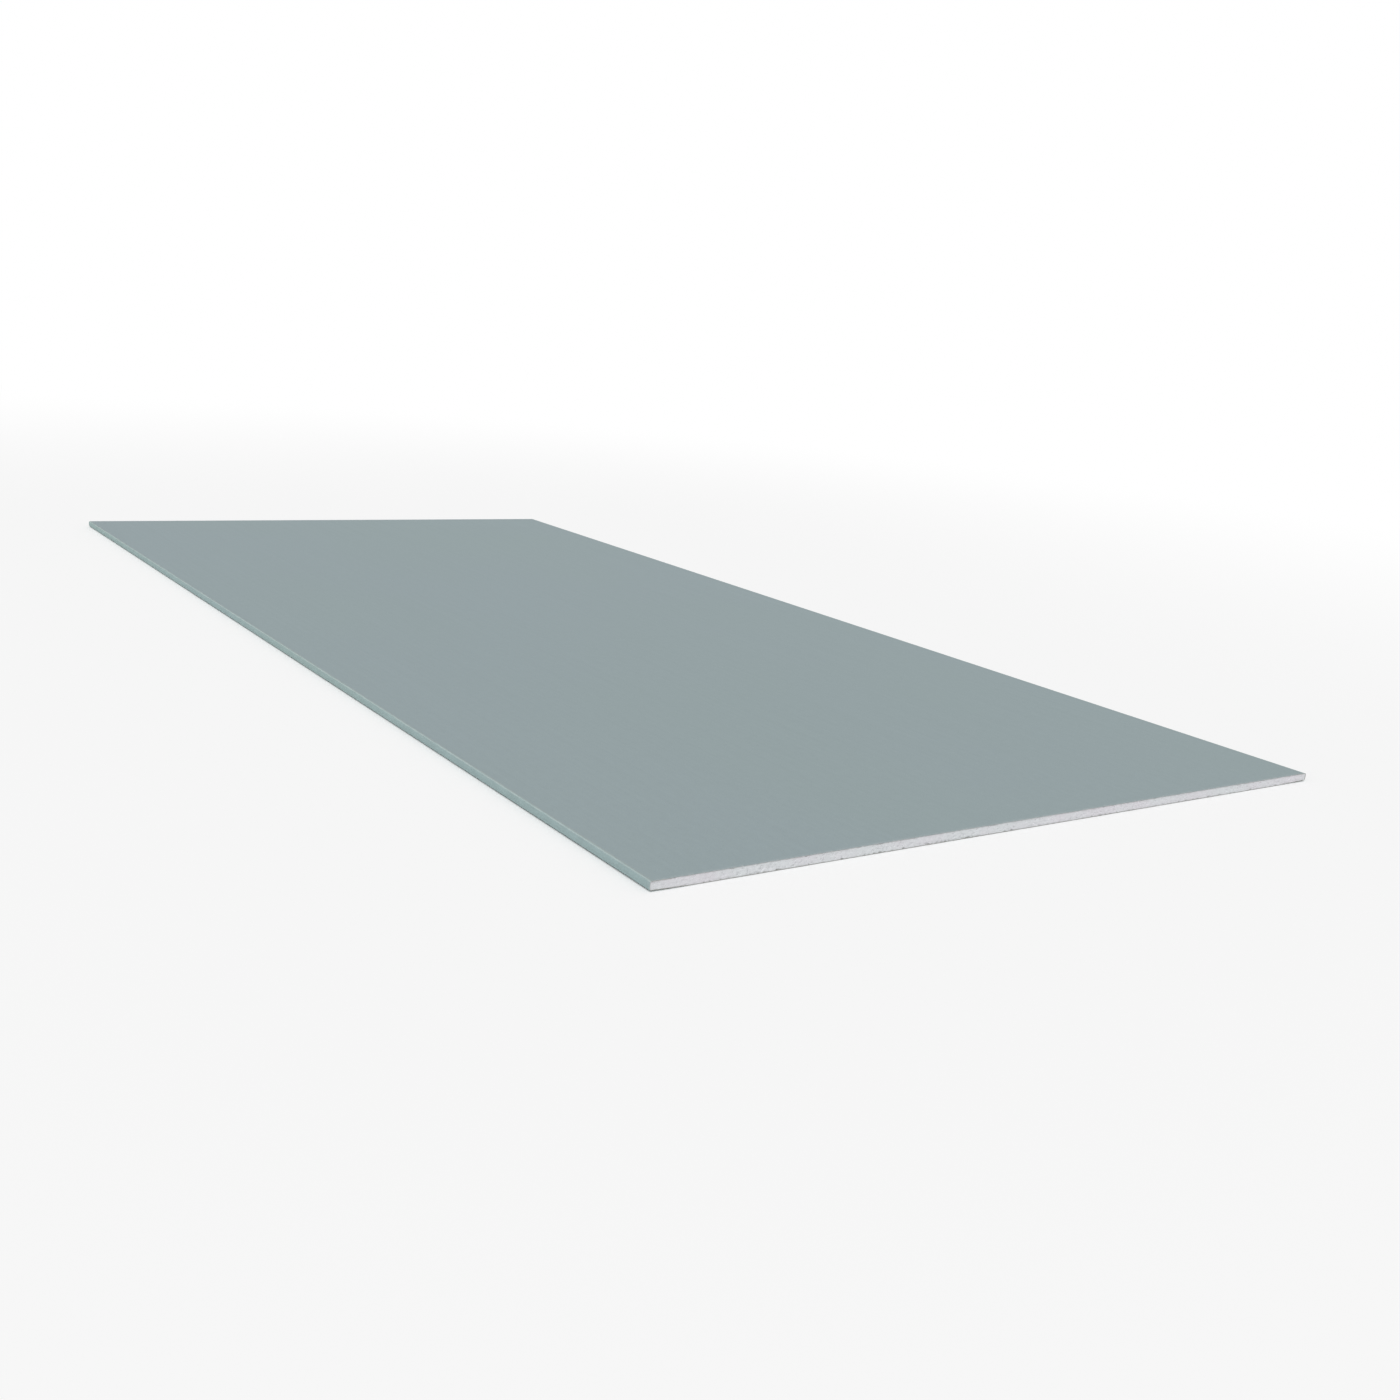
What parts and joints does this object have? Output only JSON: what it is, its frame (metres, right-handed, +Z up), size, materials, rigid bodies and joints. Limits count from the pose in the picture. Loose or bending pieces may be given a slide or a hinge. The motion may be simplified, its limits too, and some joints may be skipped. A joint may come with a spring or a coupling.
{
  "type": "drywall sheet",
  "caption": "Flat moisture-resistant drywall sheet with a gypsum core in grey-green paper, tapered long edges on its face and square-cut ends, lying face down.",
  "frame": {"origin": "middle of the underside, which is the flat of the tapered face", "axes": "+X across the width, +Y along the length, +Z up out of the back"},
  "size_m": [1.2, 2.5, 0.0125],
  "materials": {
    "liner_paper": "matte",
    "face_paper": "matte",
    "gypsum_core": "matte"
  },
  "bodies": {
    "root": {"drywall_sheet": "liner_paper"}
  },
  "joints": []
}
